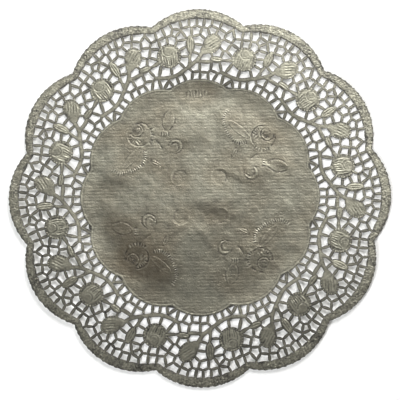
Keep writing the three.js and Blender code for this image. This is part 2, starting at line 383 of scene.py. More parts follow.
# The rolled petal in the heart of a net's rose: open arcs, one round the other
HEART_ARCS = [
    Arc(HEART, HEART_RADIUS * 0.5, 100, 300, -0.025, 6),
    Arc(HEART, HEART_RADIUS * 0.88, 250, 500, 0.025, 11),
    Arc(HEART, HEART_RADIUS * 1.08, 60, 330, -0.05, 13),
    Arc(HEART, HEART_RADIUS * 1.32, 160, 380, 0.045, 14),
]
# Petals of a spray's rose: three round its heart, then the lower left edge and the upper right one
SPRAY_ROSE_ARCS = [
    Arc(HEART, 0.42, 200, 400, 0.04, 14),
    Arc(HEART, 0.51, 190, 430, -0.07, 20),
    Arc(HEART, 0.61, 190, 270, 0.04, 8),
    Arc(0, 0.96, 150, 300, 0.04, 24),
    Arc(0, 0.86, 155, 290, -0.07, 19),
    Arc(0, 0.97, 20, 75, -0.08, 9),
]
# Two petals of a small bud
SMALL_BUD_ARCS = [
    Arc(0, 0.98, 130, 300, 0.04, 18),
    Arc(0.1, 0.78, 40, 190, -0.04, 14),
]


def arc_line(middle, radius, start, end, points):
    """Points on an arc, from one angle to another, counter-clockwise from the right."""
    return middle + radius * np.exp(1j * np.radians(np.linspace(start, end, points)))


def ring(middle, radius, rise, points):
    """A closed ring."""
    return Row(arc_line(middle, radius, 0, 360, points + 1)[:-1], rise, True)


def arc_rows(arcs):
    """The lines of a table of arcs."""
    return [Row(arc_line(arc.middle, arc.radius, arc.start, arc.end, arc.points), arc.rise, False)
            for arc in arcs]


def beads(start, end, count, low=0.89, high=0.97):
    """Short rays between two radii of a motif, raised and sunk by turns."""
    return [Row(np.exp(1j * np.radians(angle)) * np.array([low, high]), BEAD_RISE * (-1) ** n, False)
            for n, angle in enumerate(np.linspace(start, end, count))]


def rose_rows():
    """A rolled heart, a groove round the petals, their veins under the heart, and a beaded border."""
    rows = arc_rows(HEART_ARCS) + [ring(0, BORDER_RADIUS, -GROOVE, 44)]
    height = np.arange(-0.72, 0.8, 0.125)
    for n in range(-7, 8):
        vein = 0.1 * n * np.sqrt(1 - height**2) + 1j * height
        kept = (np.abs(vein - HEART) > HEART_RADIUS * 1.5) & (np.abs(vein) < 0.76)
        rise = VEIN_RISE * (-1) ** n * (0.8 + 0.4 * math.sin(2 * n))
        rows.append(Row(vein[kept], rise, False))
    return rows + beads(0, 353, 52)


def spray_rose_rows():
    """A dark heart in rings, its petals, a hatched petal at the lower left, and beads along both sides."""
    rows = [ring(HEART, HEART_RADIUS * share, -GROOVE, points)
            for share, points in ((0.3, 5), (0.6, 10), (0.9, 14))]
    rows += arc_rows(SPRAY_ROSE_ARCS)
    slant = np.exp(1j * np.radians(25))
    for n in range(-2, 3):
        stroke = 0.105 * n + np.array([-0.16j, 0, 0.16j])
        rows.append(Row(-0.2 - 0.42j + stroke * slant, VEIN_RISE * (-1) ** n, False))
    return rows + beads(-62, 12, 13, low=0.94, high=1.09) + beads(165, 235, 11, low=0.62, high=0.74)


def flower_rows():
    """Upright wavy strokes side by side, raised and sunk by turns."""
    rows = []
    height = np.linspace(-0.5, 0.5, 6)
    for n in range(-7, 8):
        across = 0.12 * n
        stroke = across + 0.03 * np.sin(5 * height + n) + 1j * height * math.sqrt(1 - across**2)
        rows.append(Row(stroke, ARC_RISE * (-1) ** n, False))
    return rows


def leaf_rows(veins, step, rise):
    """Veins from tip to tip, this many to each side of the middle one, raised and sunk by turns."""
    height = np.arange(-0.93, 0.94, step)
    return [Row(n / (veins + 1) * (1 - height**2) ** 0.8 + 1j * height, rise * (-1) ** (n + veins + 1), False)
            for n in range(-veins, veins + 1)]


def plain_leaf_rows(step, depth):
    """A groove of this depth along both edges, and faint ribs between."""
    height = np.arange(-0.94, 0.95, step)
    return [Row(across * (1 - height**2) ** 0.7 + 1j * height, rise, False)
            for across, rise in ((-0.9, -depth), (-0.68, 0.03), (0.1, -0.02), (0.68, 0.03), (0.9, -depth))]


def bud_rows():
    """Slanting strokes on its upper half, a groove over them, and beads along the edge."""
    rows = []
    height = np.arange(-0.75, 0.76, 0.15)
    for n in range(-5, 6):
        stroke = (0.145 * n + 1j * height) * np.exp(-1j * np.radians(30))
        kept = (np.abs(stroke) < 0.74) & (stroke.imag > -0.45 - 0.2 * stroke.real)
        rise = VEIN_RISE * (-1) ** n * (0.6 + 0.3 * math.sin(2 * n))
        rows.append(Row(stroke[kept], rise, False))
    groove = Row(arc_line(0, BORDER_RADIUS, -50, 230, 32), -GROOVE, False)
    return rows + [groove] + beads(-50, 170, 30)


def spray_bud_rows():
    """Four petals as open arcs, one in the other, sunk and raised by turns."""
    return [Row(arc_line(0.1 * n, 0.92 - 0.17 * n, 20 + 25 * n, 300 - 20 * n, 27 - 7 * n),
                ARC_RISE if n % 2 else -1.5 * ARC_RISE, False) for n in range(4)]


def foot_rows():
    """Short strokes side by side."""
    return [Row(0.28 * n + 1j * np.array([-0.5, 0, 0.5]), BEAD_RISE * (-1) ** n, False) for n in range(-3, 4)]


def calyx_rows():
    """One sunk line along its middle."""
    return [Row(1j * np.linspace(-0.8, 0.8, 7), -CALYX_LINE, False)]


def rose_form(local):
    """Height of a rose of radius 1 without its lines: flat, with a domed heart and a fold below it."""
    r = np.abs(local)
    heart = np.clip(1 - (np.abs(local - HEART) / (HEART_RADIUS * 1.1)) ** 2, 0, 1)
    fold = np.exp(-((local.real + 0.03) / 0.07) ** 2) * np.clip(-0.1 - local.imag, 0, 0.25) / 0.25
    return np.clip(1 - r**4, 0, 1) * (ROSE_RISE - ROSE_FOLD * fold) + HEART_RISE * heart


def bud_form(local):
    """A bud's flat dome."""
    return BUD_RISE * np.clip(1 - np.abs(local) ** 4, 0, 1)


def dish_form(local):
    """A small bud, pressed in."""
    return -DISH_DEPTH * np.clip(1 - np.abs(local) ** 4, 0, 1)


def calyx_form(local):
    """A soft hollow."""
    return -CALYX_DEPTH * np.clip(1 - np.abs(local) ** 2, 0, 1)


def leaf_form(local):
    """A leaf's dome."""
    return LEAF_RISE * np.clip(1 - np.abs(local) ** 3, 0, 1)


# Each motif: its oval, its form, its lines, how many copies there are, and the turn of its lines
Motif = namedtuple("Motif", "oval form rows copies line_turn")
MOTIFS = [
    Motif(NET_ROSE, rose_form, rose_rows(), REPEATS, 0),
    Motif(NET_BUD, bud_form, bud_rows(), REPEATS, 0),
    Motif(TALL_LEAF, leaf_form, leaf_rows(veins=3, step=0.17, rise=NET_LEAF_RISE), REPEATS, 0),
    Motif(LOW_LEAF, leaf_form, leaf_rows(veins=2, step=0.22, rise=NET_LEAF_RISE), REPEATS, 90),
    Motif(SPRAY_ROSE, rose_form, spray_rose_rows(), SPRAYS, 0),
    Motif(SPRAY_BUD, bud_form, spray_bud_rows(), SPRAYS, 0),
    Motif(SMALL_BUD, dish_form, arc_rows(SMALL_BUD_ARCS), SPRAYS, 0),
    Motif(CALYX, calyx_form, calyx_rows(), SPRAYS, 0),
    Motif(SPRAY_LEAF, leaf_form, plain_leaf_rows(step=0.13, depth=0.06), SPRAYS, 0),
    Motif(LEAF_FOOT, bud_form, foot_rows(), SPRAYS, 0),
    Motif(WIDE_LEAF, leaf_form, plain_leaf_rows(step=0.1, depth=0.03), SPRAYS, 0),
    Motif(SMALL_LEAF, leaf_form, leaf_rows(veins=2, step=0.25, rise=ARC_RISE), SPRAYS, 0),
    Motif(TOP_FLOWER, leaf_form, flower_rows(), 1, 0),
]
DISC_MOTIFS = [motif for motif in MOTIFS if motif.oval.r < DISC_REACH]


def on_sheet(local, oval):
    """Points from an oval's own axes, put on its place in the sheet."""
    turn = np.exp(1j * np.radians(oval.turn - oval.at))
    return polar(oval.at, oval.r) + (local.real * oval.across + 1j * local.imag * oval.along) * turn


def smooth_step(low, high, value):
    """From 0 at the low value to 1 at the high one, with soft ends."""
    share = np.clip((value - low) / (high - low), 0, 1)
    return share * share * (3 - 2 * share)


# Soft creases that the sheet has from its folding and handling: the middle of the crest, its half length,
# the width of the steep side, which way the crest runs, and its height. A turn of 0 has its steep side to
# the top, where the light comes from, and one of 180 to the bottom.
Crease = namedtuple("Crease", "x y length width turn rise")
CREASES = [
    Crease(5.4, -5.1, 19, 6, 161, 0.5),
    Crease(3, -26, 14, 4, -5, 0.25),
    Crease(29.3, 17.1, 12.5, 3, 150, 0.3),
    Crease(18.7, 56.3, 16, 5, 90, 0.5),
    Crease(2, 56, 15, 6, -90, 0.4),
    Crease(45.4, 22.2, 9, 6, -20, 0.45),
    Crease(69.7, 22.2, 10, 3.5, 123, 0.3),
    Crease(67.3, -6.3, 6, 4, -45, 0.3),
    Crease(-39, -34, 35, 16, 135, 1.1),
    Crease(-29, -56, 14, 12, 170, 0.6),
    Crease(-68, 16, 11, 5, 180, 0.45),
    Crease(-68, -4.7, 11, 3.5, 10, 0.22),
    Crease(38.3, -39.6, 10, 7, 0, 0.4),
    Crease(50.9, -42.8, 6, 5, 180, 0.3),
    Crease(72.8, -38.8, 7, 6, 150, 0.4),
    Crease(-14.2, 46, 18, 4, 180, 0.25),
]
# How the net and the rim stand over the table: ramps begin and end at distances from the middle
NET_LIFT = 1.7
NET_RAMP = (78, 110)
NET_WAVES = 0.5  # how unevenly it lifts round the sheet
RIM_CURL = 0.9
CURL_RAMP = (96, 150)
CURL_AT = -110  # where the rim curls most
SWAY = 0.1  # broad unevenness of the whole sheet
RIPPLE = 0.02  # fine slanting ripples in its centre


def lie(points):
    """How high the paper lies without its drawing: creased in the middle, curled at the rim."""
    r, at = np.abs(points), -np.angle(points / 1j)
    curl = (0.5 + 0.5 * np.cos(at - math.radians(CURL_AT))) ** 1.5
    height = NET_LIFT * smooth_step(*NET_RAMP, r) * (1 + NET_WAVES * np.sin(3 * at + 1))
    height = height + RIM_CURL * curl * smooth_step(*CURL_RAMP, r)
    for crease in CREASES:
        local = (points - crease.x - 1j * crease.y) * np.exp(-1j * np.radians(crease.turn))
        width = np.where(local.imag > 0, crease.width, 3 * crease.width)
        crest = np.exp(-((local.real / crease.length) ** 2) - (local.imag / width) ** 2)
        height = height + crease.rise * crest
    sway = np.sin(points.real / 9 + np.sin(points.imag / 17)) * np.sin(points.imag / 12 + 0.7)
    slanting = np.sin((points.real + points.imag) / 1.6 + np.sin(points.real / 11))
    return height + SWAY * sway + RIPPLE * slanting * np.exp(-((r - 15) / 40) ** 2)


def from_stems(points):
    """Distance from the middle lines of the sprays' stems."""
    line = stem_line(SPRAY_STEM)
    quarters = [turned(points, -360 / SPRAYS * copy) for copy in range(SPRAYS)]
    return np.min([outside_line(quarter, line) for quarter in quarters], axis=0)


def pillow(points):
    """Height of the broad forms of the drawing: the bars' ridges and the motifs' forms."""
    ridge = np.clip(paper_depth(points) / (BAR_WIDTH / 2), 0, 1)
    height = BAR_RISE * (1 - (1 - ridge) ** 2)
    for motif in MOTIFS:
        for copy in range(motif.copies):
            local = in_oval(turned(points, -360 / motif.copies * copy), motif.oval)
            near = np.abs(local) < 1
            height[near] += motif.form(local[near])
    away = from_stems(points) / (SPRAY_STEM.width / 2)
    return height + STEM_RISE * np.clip(1 - away**2, 0, 1)


def outside_sprays(points):
    """Distance outside the motifs embossed in the middle disc."""
    return np.min([outside_oval(turned(points, -360 / motif.copies * copy), motif.oval)
                   for motif in DISC_MOTIFS for copy in range(motif.copies)], axis=0)


class Drawing:
    """The points of the sheet's face with the lines that join them, none nearer to another than asked."""

    SQUARE = 1.0  # side of the squares that the points are sorted into, to find those near a place

    def __init__(self):
        self.points = []
        self.rises = []
        self.loops = []
        self.lines = []
        self.squares = {}
        self.chance = np.random.default_rng(3)

    def square(self, point):
        """The column and row of the square that a point is in."""
        return math.floor(point.real / self.SQUARE), math.floor(point.imag / self.SQUARE)

    def is_free(self, point, apart):
        """Whether no point is nearer than this."""
        column, row = self.square(point)
        reach = math.ceil(apart / self.SQUARE)
        return not any(
            abs(self.points[other] - point) < apart
            for x in range(column - reach, column + reach + 1)
            for y in range(row - reach, row + reach + 1)
            for other in self.squares.get((x, y), ())
        )

    def add(self, point, rise=0.0, loop=-1):
        """Adds a point, on one of the cut edges or on none, and gives its number."""
        self.squares.setdefault(self.square(point), []).append(len(self.points))
        self.points.append(point)
        self.rises.append(rise)
        self.loops.append(loop)
        return len(self.points) - 1

    def cut(self, outline, loop):
        """Adds a closed cut edge."""
        first = len(self.points)
        for point in outline:
            self.add(point, loop=loop)
        count = len(outline)
        self.lines.extend((first + n, first + (n + 1) % count) for n in range(count))

    def draw(self, line, rise, copies, apart=LINES_APART, closed=False):
        """Adds a drawn line and its copies round the sheet, unevenly pressed, where its points have room."""
        line = line if closed else line[paper_depth(line) > DRAWN_DEPTH]
        for copy in range(copies):
            pressed = rise * self.chance.normal(1, PRESS_SPREAD, len(line))
            added = [self.add(point, height) if self.is_free(point, apart) else None
                     for point, height in zip(turned(line, 360 / copies * copy), pressed)]
            joined = zip(added, added[1:] + added[:1]) if closed else zip(added, added[1:])
            self.lines.extend((a, b) for a, b in joined if a is not None and b is not None)

    def fill(self, points, apart, rises=None):
        """Adds single points where they have room."""
        for n, point in enumerate(points):
            if self.is_free(point, apart):
                self.add(point, 0.0 if rises is None else rises[n])


# Teeth of the outer edge: waves and chance, in millimetres, round an edge a little inside the outline
EDGE_POINTS = 1320
TEETH = 190
TOOTH_DEPTH = 0.22
TOOTH_SPREAD = 0.14
DEEPEST_TOOTH = 0.5
EDGE_INSET = 0.3

STROKE_STEP = 0.88  # between the strokes across a stem
STROKE_INSET = 0.25  # how far they end inside its edge
MIDDLE_REACH = 97  # just past the middle disc
UNDER_RELIEF = 0.85  # height of the forms on the underside, as a part of the face's

# How far the finishes and the painted shades reach, in millimetres
CUT_EDGE_WIDTH = 1.1  # painted shade along a cut, which darkens the narrow bars
LAID_FADE = 3  # where the laid lines fade out before the net
HAMMERED_FADE = 1  # to each side of the line where the hammered rim starts
HANDLED_WIDTH = 12  # wear round the sprays
LOWER_LEFT_SHADE_REACH = 30  # painted shade that darkens the lower left of the sheet: its reach
LOWER_LEFT_SHADE_MIDDLE = -48 - 52j  # its middle
LOWER_LEFT_SHADE_SHARE = 1.8  # how dark the painted shade is, where the wear round the sprays is 1


def scalloped(at, line, inset=0.0):
    """Distances from the middle of the sheet to a scalloped line, or to one inside it, at some angles."""
    local = (at + REPEAT_ANGLE / 2) % REPEAT_ANGLE - REPEAT_ANGLE / 2
    sine = line.reach * np.sin(np.radians(local))
    return line.reach * np.cos(np.radians(local)) + np.sqrt((line.radius - inset) ** 2 - sine**2)


def outer_edge():
    """The scalloped outline with its fine uneven teeth, counter-clockwise."""
    at = np.arange(0, 360, 360 / EDGE_POINTS)
    teeth = TOOTH_DEPTH * np.sin(np.radians(at * TEETH) + 2 * np.sin(np.radians(at * 13)))
    teeth = teeth + np.random.default_rng(5).normal(0, TOOTH_SPREAD, len(at))
    return polar(at, scalloped(at, OUTLINE) - EDGE_INSET + np.clip(teeth, -DEEPEST_TOOTH, EDGE_INSET))[::-1]


# Lines that run all round inside a scalloped line: how far inside, their height, and how many points
Border = namedtuple("Border", "line inset rise points")
BORDERS = [
    Border(NET_INNER_LINE, 1.2, 0.03, 576),
    Border(NET_INNER_LINE, 2.1, -0.03, 576),
    Border(OUTLINE, 1.2, -0.03, 912),
]


def honeycomb(step, reach=TIP_RADIUS):
    """Points of an even triangular grid inside a circle."""
    rows = np.arange(-reach, reach, step * math.sqrt(3) / 2)
    columns = np.arange(-reach, reach, step)
    x, y = np.meshgrid(columns, rows)
    x = x + (np.arange(len(rows)) % 2)[:, None] * step / 2
    points = (x + 1j * y).ravel()
    return points[np.abs(points) < reach]


def stem_strokes(drawing, stem, copies):
    """Short strokes across a stem, raised and sunk by turns."""
    line = stem_line(stem, step=STROKE_STEP)
    direction = np.gradient(line)
    across = 1j * direction / np.abs(direction) * (stem.width / 2 - STROKE_INSET)
    for n, (point, reach) in enumerate(zip(line, across)):
        stroke = point + reach * np.array([-1, 0, 1])
        drawing.draw(stroke, BEAD_RISE * (-1) ** n, copies, apart=STROKES_APART)


def draw_face():
    """The face's drawing, its cut edges, and where the points beside the edges start and end in it."""
    drawing = Drawing()
    outlines = gap_outlines()
    cuts = [outer_edge()]
    cuts += [turned(outline, copy * REPEAT_ANGLE) for copy in range(REPEATS) for outline, _ in outlines]
    for loop, outline in enumerate(cuts):
        drawing.cut(outline, loop)
    for motif in MOTIFS:
        turn = np.exp(1j * np.radians(motif.line_turn))
        for row in motif.rows:
            drawing.draw(on_sheet(row.line * turn, motif.oval), row.rise, motif.copies, closed=row.closed)
    stem_strokes(drawing, SPRAY_STEM, SPRAYS)
    for border in BORDERS:
        at = np.arange(0, 360, 360 / border.points)
        drawing.draw(polar(at, scalloped(at, border.line, border.inset)), border.rise, 1, closed=True)
    beside_start = len(drawing.points)
    for copy in range(REPEATS):
        for _, outer in outlines:
            drawing.fill(turned(outer, copy * REPEAT_ANGLE), BESIDE_APART)
    beside_end = len(drawing.points)
    chance = np.random.default_rng(11)
    for points, apart, spread in face_fill():
        drawing.fill(points, apart, chance.normal(0, spread, len(points)))
    return drawing, cuts, beside_start, beside_end


def face_fill():
    """Points that fill the face between what is drawn, how far apart they are, and how uneven in height:
    fine round the sprays, in the rim and in the net, and coarser in the rest of the disc."""
    fine, coarse = honeycomb(FINE_STEP), honeycomb(MIDDLE_STEP, MIDDLE_REACH)
    in_sprays = (outside_sprays(fine) < ROUND_SPRAYS) | (from_stems(fine) < SPRAY_STEM.width)
    yield fine[in_sprays], 0.55, 0.004
    is_deep = paper_depth(fine) > FINE_DEPTH
    local = in_top_repeat(fine)
    in_rim = outside_scallop(local, NET_OUTER_LINE) > 0
    yield fine[is_deep & in_rim], 0.7, FACET_RISE
    in_net = (outside_scallop(local, NET_INNER_LINE) > -INSIDE_NET) & ~in_rim
    yield fine[is_deep & in_net], 0.72, 0.015
    yield coarse[paper_depth(coarse) > COARSE_DEPTH], MIDDLE_STEP * FILL_SHARE, 0.006


def triangulate(points, lines, loops, cuts):
    """Triangles between the points, counter-clockwise, without those in the gaps and off the sheet."""
    flat = [Vector((point.real, point.imag)) for point in points]
    _, _, faces, origins, _, _ = delaunay_2d_cdt(flat, lines, [], 0, SAME_POINT, True)
    if any(len(origin) == 0 for origin in origins):
        raise RuntimeError("two lines of the drawing cross")
    order = np.array([origin[0] for origin in origins])
    triangles = order[np.array(faces)]
    corners = np.array(points)[triangles]
    area = ((corners[:, 1] - corners[:, 0]).conj() * (corners[:, 2] - corners[:, 0])).imag
    triangles[area < 0] = triangles[area < 0][:, ::-1]
    middles = corners.mean(axis=1)
    loops = np.array(loops)[triangles]
    keep = np.ones(len(triangles), bool)
    for loop, outline in enumerate(cuts):
        own = np.flatnonzero((loops == loop).all(axis=1))
        around = outline - middles[own][:, None]
        winding = np.angle(np.roll(around, -1, axis=1) / around).sum(axis=1)
        inside = np.abs(winding) > math.pi
        keep[own] = inside if loop == 0 else ~inside
    return triangles[keep]


def net_area(cuts):
    """The sheet's area without its gaps, in square millimetres."""
    areas = [abs((outline.conj() * np.roll(outline, -1)).imag.sum()) / 2 for outline in cuts]
    return areas[0] - sum(areas[1:])


def draw_under(points, loops, outer):
    """The points of the underside: the cut edges, the points beside them, and a coarse grid."""
    under = Drawing()
    for point, loop in zip(points, loops):
        under.add(point, loop=loop)
    under.fill(outer, UNDER_BESIDE_APART)
    coarse = honeycomb(UNDER_STEP)
    under.fill(coarse[paper_depth(coarse) > COARSE_DEPTH], UNDER_STEP * FILL_SHARE)
    return under


def surface_masks(places, rises):
    """How far each point is in the painted shade along a cut edge, laid, hammered and sunk, and how far it is
    worn round the sprays plus painted shade at the lower left: attributes of the mesh.
    """
    local = in_top_repeat(places)
    # painted shade at the lower left, added to the wear round the sprays
    lower_left_shade = LOWER_LEFT_SHADE_SHARE * np.exp(-np.abs(places - LOWER_LEFT_SHADE_MIDDLE) ** 2 / LOWER_LEFT_SHADE_REACH**2)
    return {
        # painted shade along the cut edges
        "cut_edge_shade": 1 - smooth_step(0, CUT_EDGE_WIDTH, paper_depth(places)),
        "laid": smooth_step(0, LAID_FADE, -outside_scallop(local, NET_INNER_LINE)),
        "hammered": smooth_step(-HAMMERED_FADE, HAMMERED_FADE, outside_scallop(local, NET_OUTER_LINE)),
        "sunk": -rises,
        "wear_and_lower_left_shade": 1 - smooth_step(0, HANDLED_WIDTH, outside_sprays(places)) + lower_left_shade,
    }


def sheet_mesh(paper):
    """The closed mesh of the sheet, and its net area: a face, a coarser underside, and cut edges between."""
    face, cuts, beside_start, beside_end = draw_face()
    points, loops = np.array(face.points), np.array(face.loops)
    cut = int((loops >= 0).sum())
    cut_lines = face.lines[:cut]
    under = draw_under(points[:cut], loops[:cut], points[beside_start:beside_end])
    under_points = np.array(under.points)
    top_triangles = triangulate(points, face.lines, loops, cuts)
    under_triangles = triangulate(under_points, cut_lines, under.loops, cuts)

    top = lie(points) + pillow(points) + np.array(face.rises) + paper
    bottom = lie(under_points) + UNDER_RELIEF * pillow(under_points)
    places = np.concatenate([points, under_points])
    height = np.concatenate([top, bottom]) - bottom.min()
    line, count = np.array(cut_lines), len(points)
    walls = np.concatenate([
        np.stack([line[:, 0] + count, line[:, 1] + count, line[:, 1]], axis=1),
        np.stack([line[:, 0] + count, line[:, 1], line[:, 0]], axis=1),
    ])
    faces = np.concatenate([top_triangles, walls, under_triangles[:, ::-1] + count])
    mesh = bpy.data.meshes.new("foil_doily")
    mesh.from_pydata(np.stack([places.real, places.imag, height], axis=1) * MM, [], faces.tolist())
    is_under = np.arange(len(faces)) >= len(top_triangles) + len(walls)
    mesh.polygons.foreach_set("material_index", is_under.astype(np.int32))
    mesh.polygons.foreach_set("use_smooth", np.ones(len(faces), bool))
    masks = surface_masks(places, np.concatenate([face.rises, np.zeros(len(under_points))]))
    for name, values in masks.items():
        attribute = mesh.attributes.new(name, "FLOAT", "POINT")
        attribute.data.foreach_set("value", values.astype(np.float32))
    mark_sharp(mesh, np.concatenate([face.lines, line + count]), masks["hammered"] > 0.5)
    mesh.update()
    return mesh, net_area(cuts)


def mark_sharp(mesh, lines, is_hammered):
    """Marks as sharp the drawn and cut lines, and the edges between the facets of the hammered rim."""
    ends = np.empty(2 * len(mesh.edges), np.int32)
    mesh.edges.foreach_get("vertices", ends)
    ends = np.sort(ends.reshape(-1, 2), axis=1)
    code = np.array([len(mesh.vertices), 1])
    sharp = np.isin(ends @ code, np.sort(lines, axis=1) @ code) | is_hammered[ends].all(axis=1)
    mesh.attributes.new("sharp_edge", "BOOLEAN", "EDGE").data.foreach_set("value", sharp)


def srgb(code):
    """The linear colour of an sRGB hex value."""
    parts = [int(code[n: n + 2], 16) / 255 for n in (0, 2, 4)]
    return tuple(c / 12.92 if c <= 0.04045 else ((c + 0.055) / 1.055) ** 2.4 for c in parts)


def node(tree, kind, links=None, **settings):
    """Adds a node. Settings are its own properties, links are values or sockets for its inputs."""
    made = tree.nodes.new(kind)
    for name, value in settings.items():
        setattr(made, name, value)
    for name, value in (links or {}).items():
        if isinstance(value, bpy.types.NodeSocket):
            tree.links.new(value, made.inputs[name])
        else:
            made.inputs[name].default_value = value
    return made


def new_material(name):
    """A material with an empty node tree, and its tree."""
    material = bpy.data.materials.new(name)
    material.use_nodes = True
    material.node_tree.nodes.clear()
    return material, material.node_tree


def wave_scale(period):
    """The Wave Texture's scale for bands that repeat after a length in metres."""
    return 2 * math.pi / (20 * period)


# Noise on the foil: the size of its grains in millimetres, its detail, and whether they are drawn out into
# dashes, twice as long to the side
Noise = namedtuple("Noise", "name size detail in_dashes")
FOIL_NOISES = [
    Noise("grain", 1.2, 2.0, True),  # the roller's grain, coarser than the real 0.5 mm so that it shows
    Noise("dents", 1.1, 3.0, False),  # hammer marks of the rim
    Noise("pulp", 1.0, 3.0, False),  # lumps of fibre under the foil, coarser than the real 0.3 mm to show
    Noise("buckles", 8.0, 2.0, False),  # where the glued sheet dried unevenly
    Noise("tarnish", 30.0, 3.0, False),  # broad dull patches
    Noise("blots", 9.0, 2.0, False),  # stains of drops
    Noise("specks", 1.5, 2.0, False),  # painted glints and shade, where facets of the rim would face the light or not
    Noise("rubbing", 4.0, 3.0, False),  # where handling has dulled the gloss
]

# Fine lines that the rollers leave across the foil: which way they repeat, their pitch, and how wavy they are
Lines = namedtuple("Lines", "name direction pitch waver")
CROSS_PITCH = 5.8 * MM

# What is read of a noise or a mask: nothing at the low value, all of it at the high one
Reading = namedtuple("Reading", "name source low high")
FOIL_READINGS = [
    Reading("tarnished", "tarnish", 0.36, 0.68),
    Reading("stained", "blots", 0.42, 0.7),
    # painted shade and painted glints on the rim's specks
    Reading("dark_specks", "specks", 0.54, 0.38),
    Reading("bright_specks", "specks", 0.52, 0.66),
    # painted highlight on the raised drawn lines
    Reading("raised_highlight", "sunk", 0.0, -0.1),
]

# How each acts on the foil: the amount is a height, or the share of another colour
Layer = namedtuple("Layer", "effect source amount where")
FOIL_LAYERS = [
    Layer("height", "laid_lines", 0.021 * MM, "laid"),
    Layer("height", "cross_lines", 0.01 * MM, "laid"),
    Layer("height", "grain", 0.025 * MM, "laid"),
    Layer("height", "dents", 0.16 * MM, "hammered"),
    Layer("height", "pulp", 0.15 * MM, "everywhere"),
    Layer("height", "buckles", 0.34 * MM, "everywhere"),
    Layer("tarnish_and_shade", "tarnished", 0.45, "laid"),
    # wear round the sprays, plus the painted shade at the lower left
    Layer("tarnish_and_shade", "wear_and_lower_left_shade", 0.35, "laid"),
    # painted glints on the rim's specks
    Layer("bright", "bright_specks", 0.3, "hammered"),
    # painted highlight on the raised drawn lines
    Layer("bright", "raised_highlight", 0.45, "everywhere"),
    Layer("dark", "stained", 0.22, "everywhere"),
    Layer("dark", "stained", 0.2, "hammered"),
    # painted shade on the rim's specks
    Layer("dark", "dark_specks", 0.34, "hammered"),
    # painted shade along every cut edge
    Layer("dark", "cut_edge_shade", 0.75, "everywhere"),
    # painted shade in the sunk drawn lines
    Layer("dark", "sunk", 7.0, "everywhere"),
]
DARKEST = 0.8  # the largest share of the dark colour
GLOSS_SPREAD = (-0.05, 0.07)  # how unevenly handling has dulled the foil, added to its roughness


def foil_material(settings):
    """Silver foil laminated on paper, rolled and embossed. It gives the eye a dull metal: broad soft light
    broken by fine lines, real tarnish and stains, painted highlight on raised lines, painted glints and shade
    in the rim, and painted shade in grooves, along cut edges and at the lower left."""
    material, tree = new_material("embossed silver foil paper")
    place = node(tree, "ShaderNodeTexCoord").outputs["Object"]
    dashes = node(tree, "ShaderNodeMapping", {"Vector": place, "Scale": (0.5, 1, 1)}).outputs[0]
    fields = {}
    for name in ("cut_edge_shade", "laid", "hammered", "sunk", "wear_and_lower_left_shade"):
        fields[name] = node(tree, "ShaderNodeAttribute", attribute_name=name).outputs["Fac"]
    for noise in FOIL_NOISES:
        fields[noise.name] = node(
            tree, "ShaderNodeTexNoise",
            {"Vector": dashes if noise.in_dashes else place, "Scale": 1 / (noise.size * MM),
             "Detail": noise.detail},
        ).outputs["Fac"]
    laid_lines = Lines("laid_lines", "Y", settings.laid_pitch, 0.45)
    cross_lines = Lines("cross_lines", "X", CROSS_PITCH, 6.0)
    for lines in (laid_lines, cross_lines):
        fields[lines.name] = node(
            tree, "ShaderNodeTexWave",
            {"Vector": place, "Scale": wave_scale(lines.pitch), "Distortion": lines.waver,
             "Detail": 2.0, "Detail Scale": 0.6},
            wave_type="BANDS", bands_direction=lines.direction, wave_profile="SIN",
        ).outputs["Fac"]
    for reading in FOIL_READINGS:
        fields[reading.name] = node(
            tree, "ShaderNodeMapRange",
            {"Value": fields[reading.source], "From Min": reading.low, "From Max": reading.high},
        ).outputs["Result"]
    effects = {"height": 0.0, "tarnish_and_shade": 0.0, "bright": 0.0, "dark": 0.0}
    for layer in FOIL_LAYERS:
        amount = layer.amount
        if layer.where != "everywhere":
            amount = node(
                tree, "ShaderNodeMath", {0: fields[layer.where], 1: amount}, operation="MULTIPLY"
            ).outputs[0]
        effects[layer.effect] = node(
            tree, "ShaderNodeMath",
            {0: fields[layer.source], 1: amount, 2: effects[layer.effect]},
            operation="MULTIPLY_ADD",
        ).outputs[0]

    dark = node(tree, "ShaderNodeClamp", {"Value": effects["dark"], "Min": 0.0, "Max": DARKEST}).outputs[0]
    mixes = (
        (effects["tarnish_and_shade"], settings.foil_tarnish_and_shade),
        (effects["bright"], settings.foil_highlight),
        (dark, settings.foil_stain_and_shade),
    )
    colour = (*settings.foil_colour, 1)
    for share, other in mixes:
        colour = node(
            tree, "ShaderNodeMix", {"Factor": share, "A": colour, "B": (*other, 1)}, data_type="RGBA"
        ).outputs["Result"]
    glossiest, dullest = (settings.roughness + spread for spread in GLOSS_SPREAD)
    gloss = node(
        tree, "ShaderNodeMapRange", {"Value": fields["rubbing"], "To Min": glossiest, "To Max": dullest}
    ).outputs["Result"]
    bump = node(tree, "ShaderNodeBump", {"Strength": 1.0, "Distance": 1.0, "Height": effects["height"]})
    shader = node(
        tree, "ShaderNodeBsdfPrincipled",
        {"Base Color": colour, "Metallic": 1.0, "Roughness": gloss, "Normal": bump.outputs[0]},
    )
    node(tree, "ShaderNodeOutputMaterial", {"Surface": shader.outputs[0]})
    return material


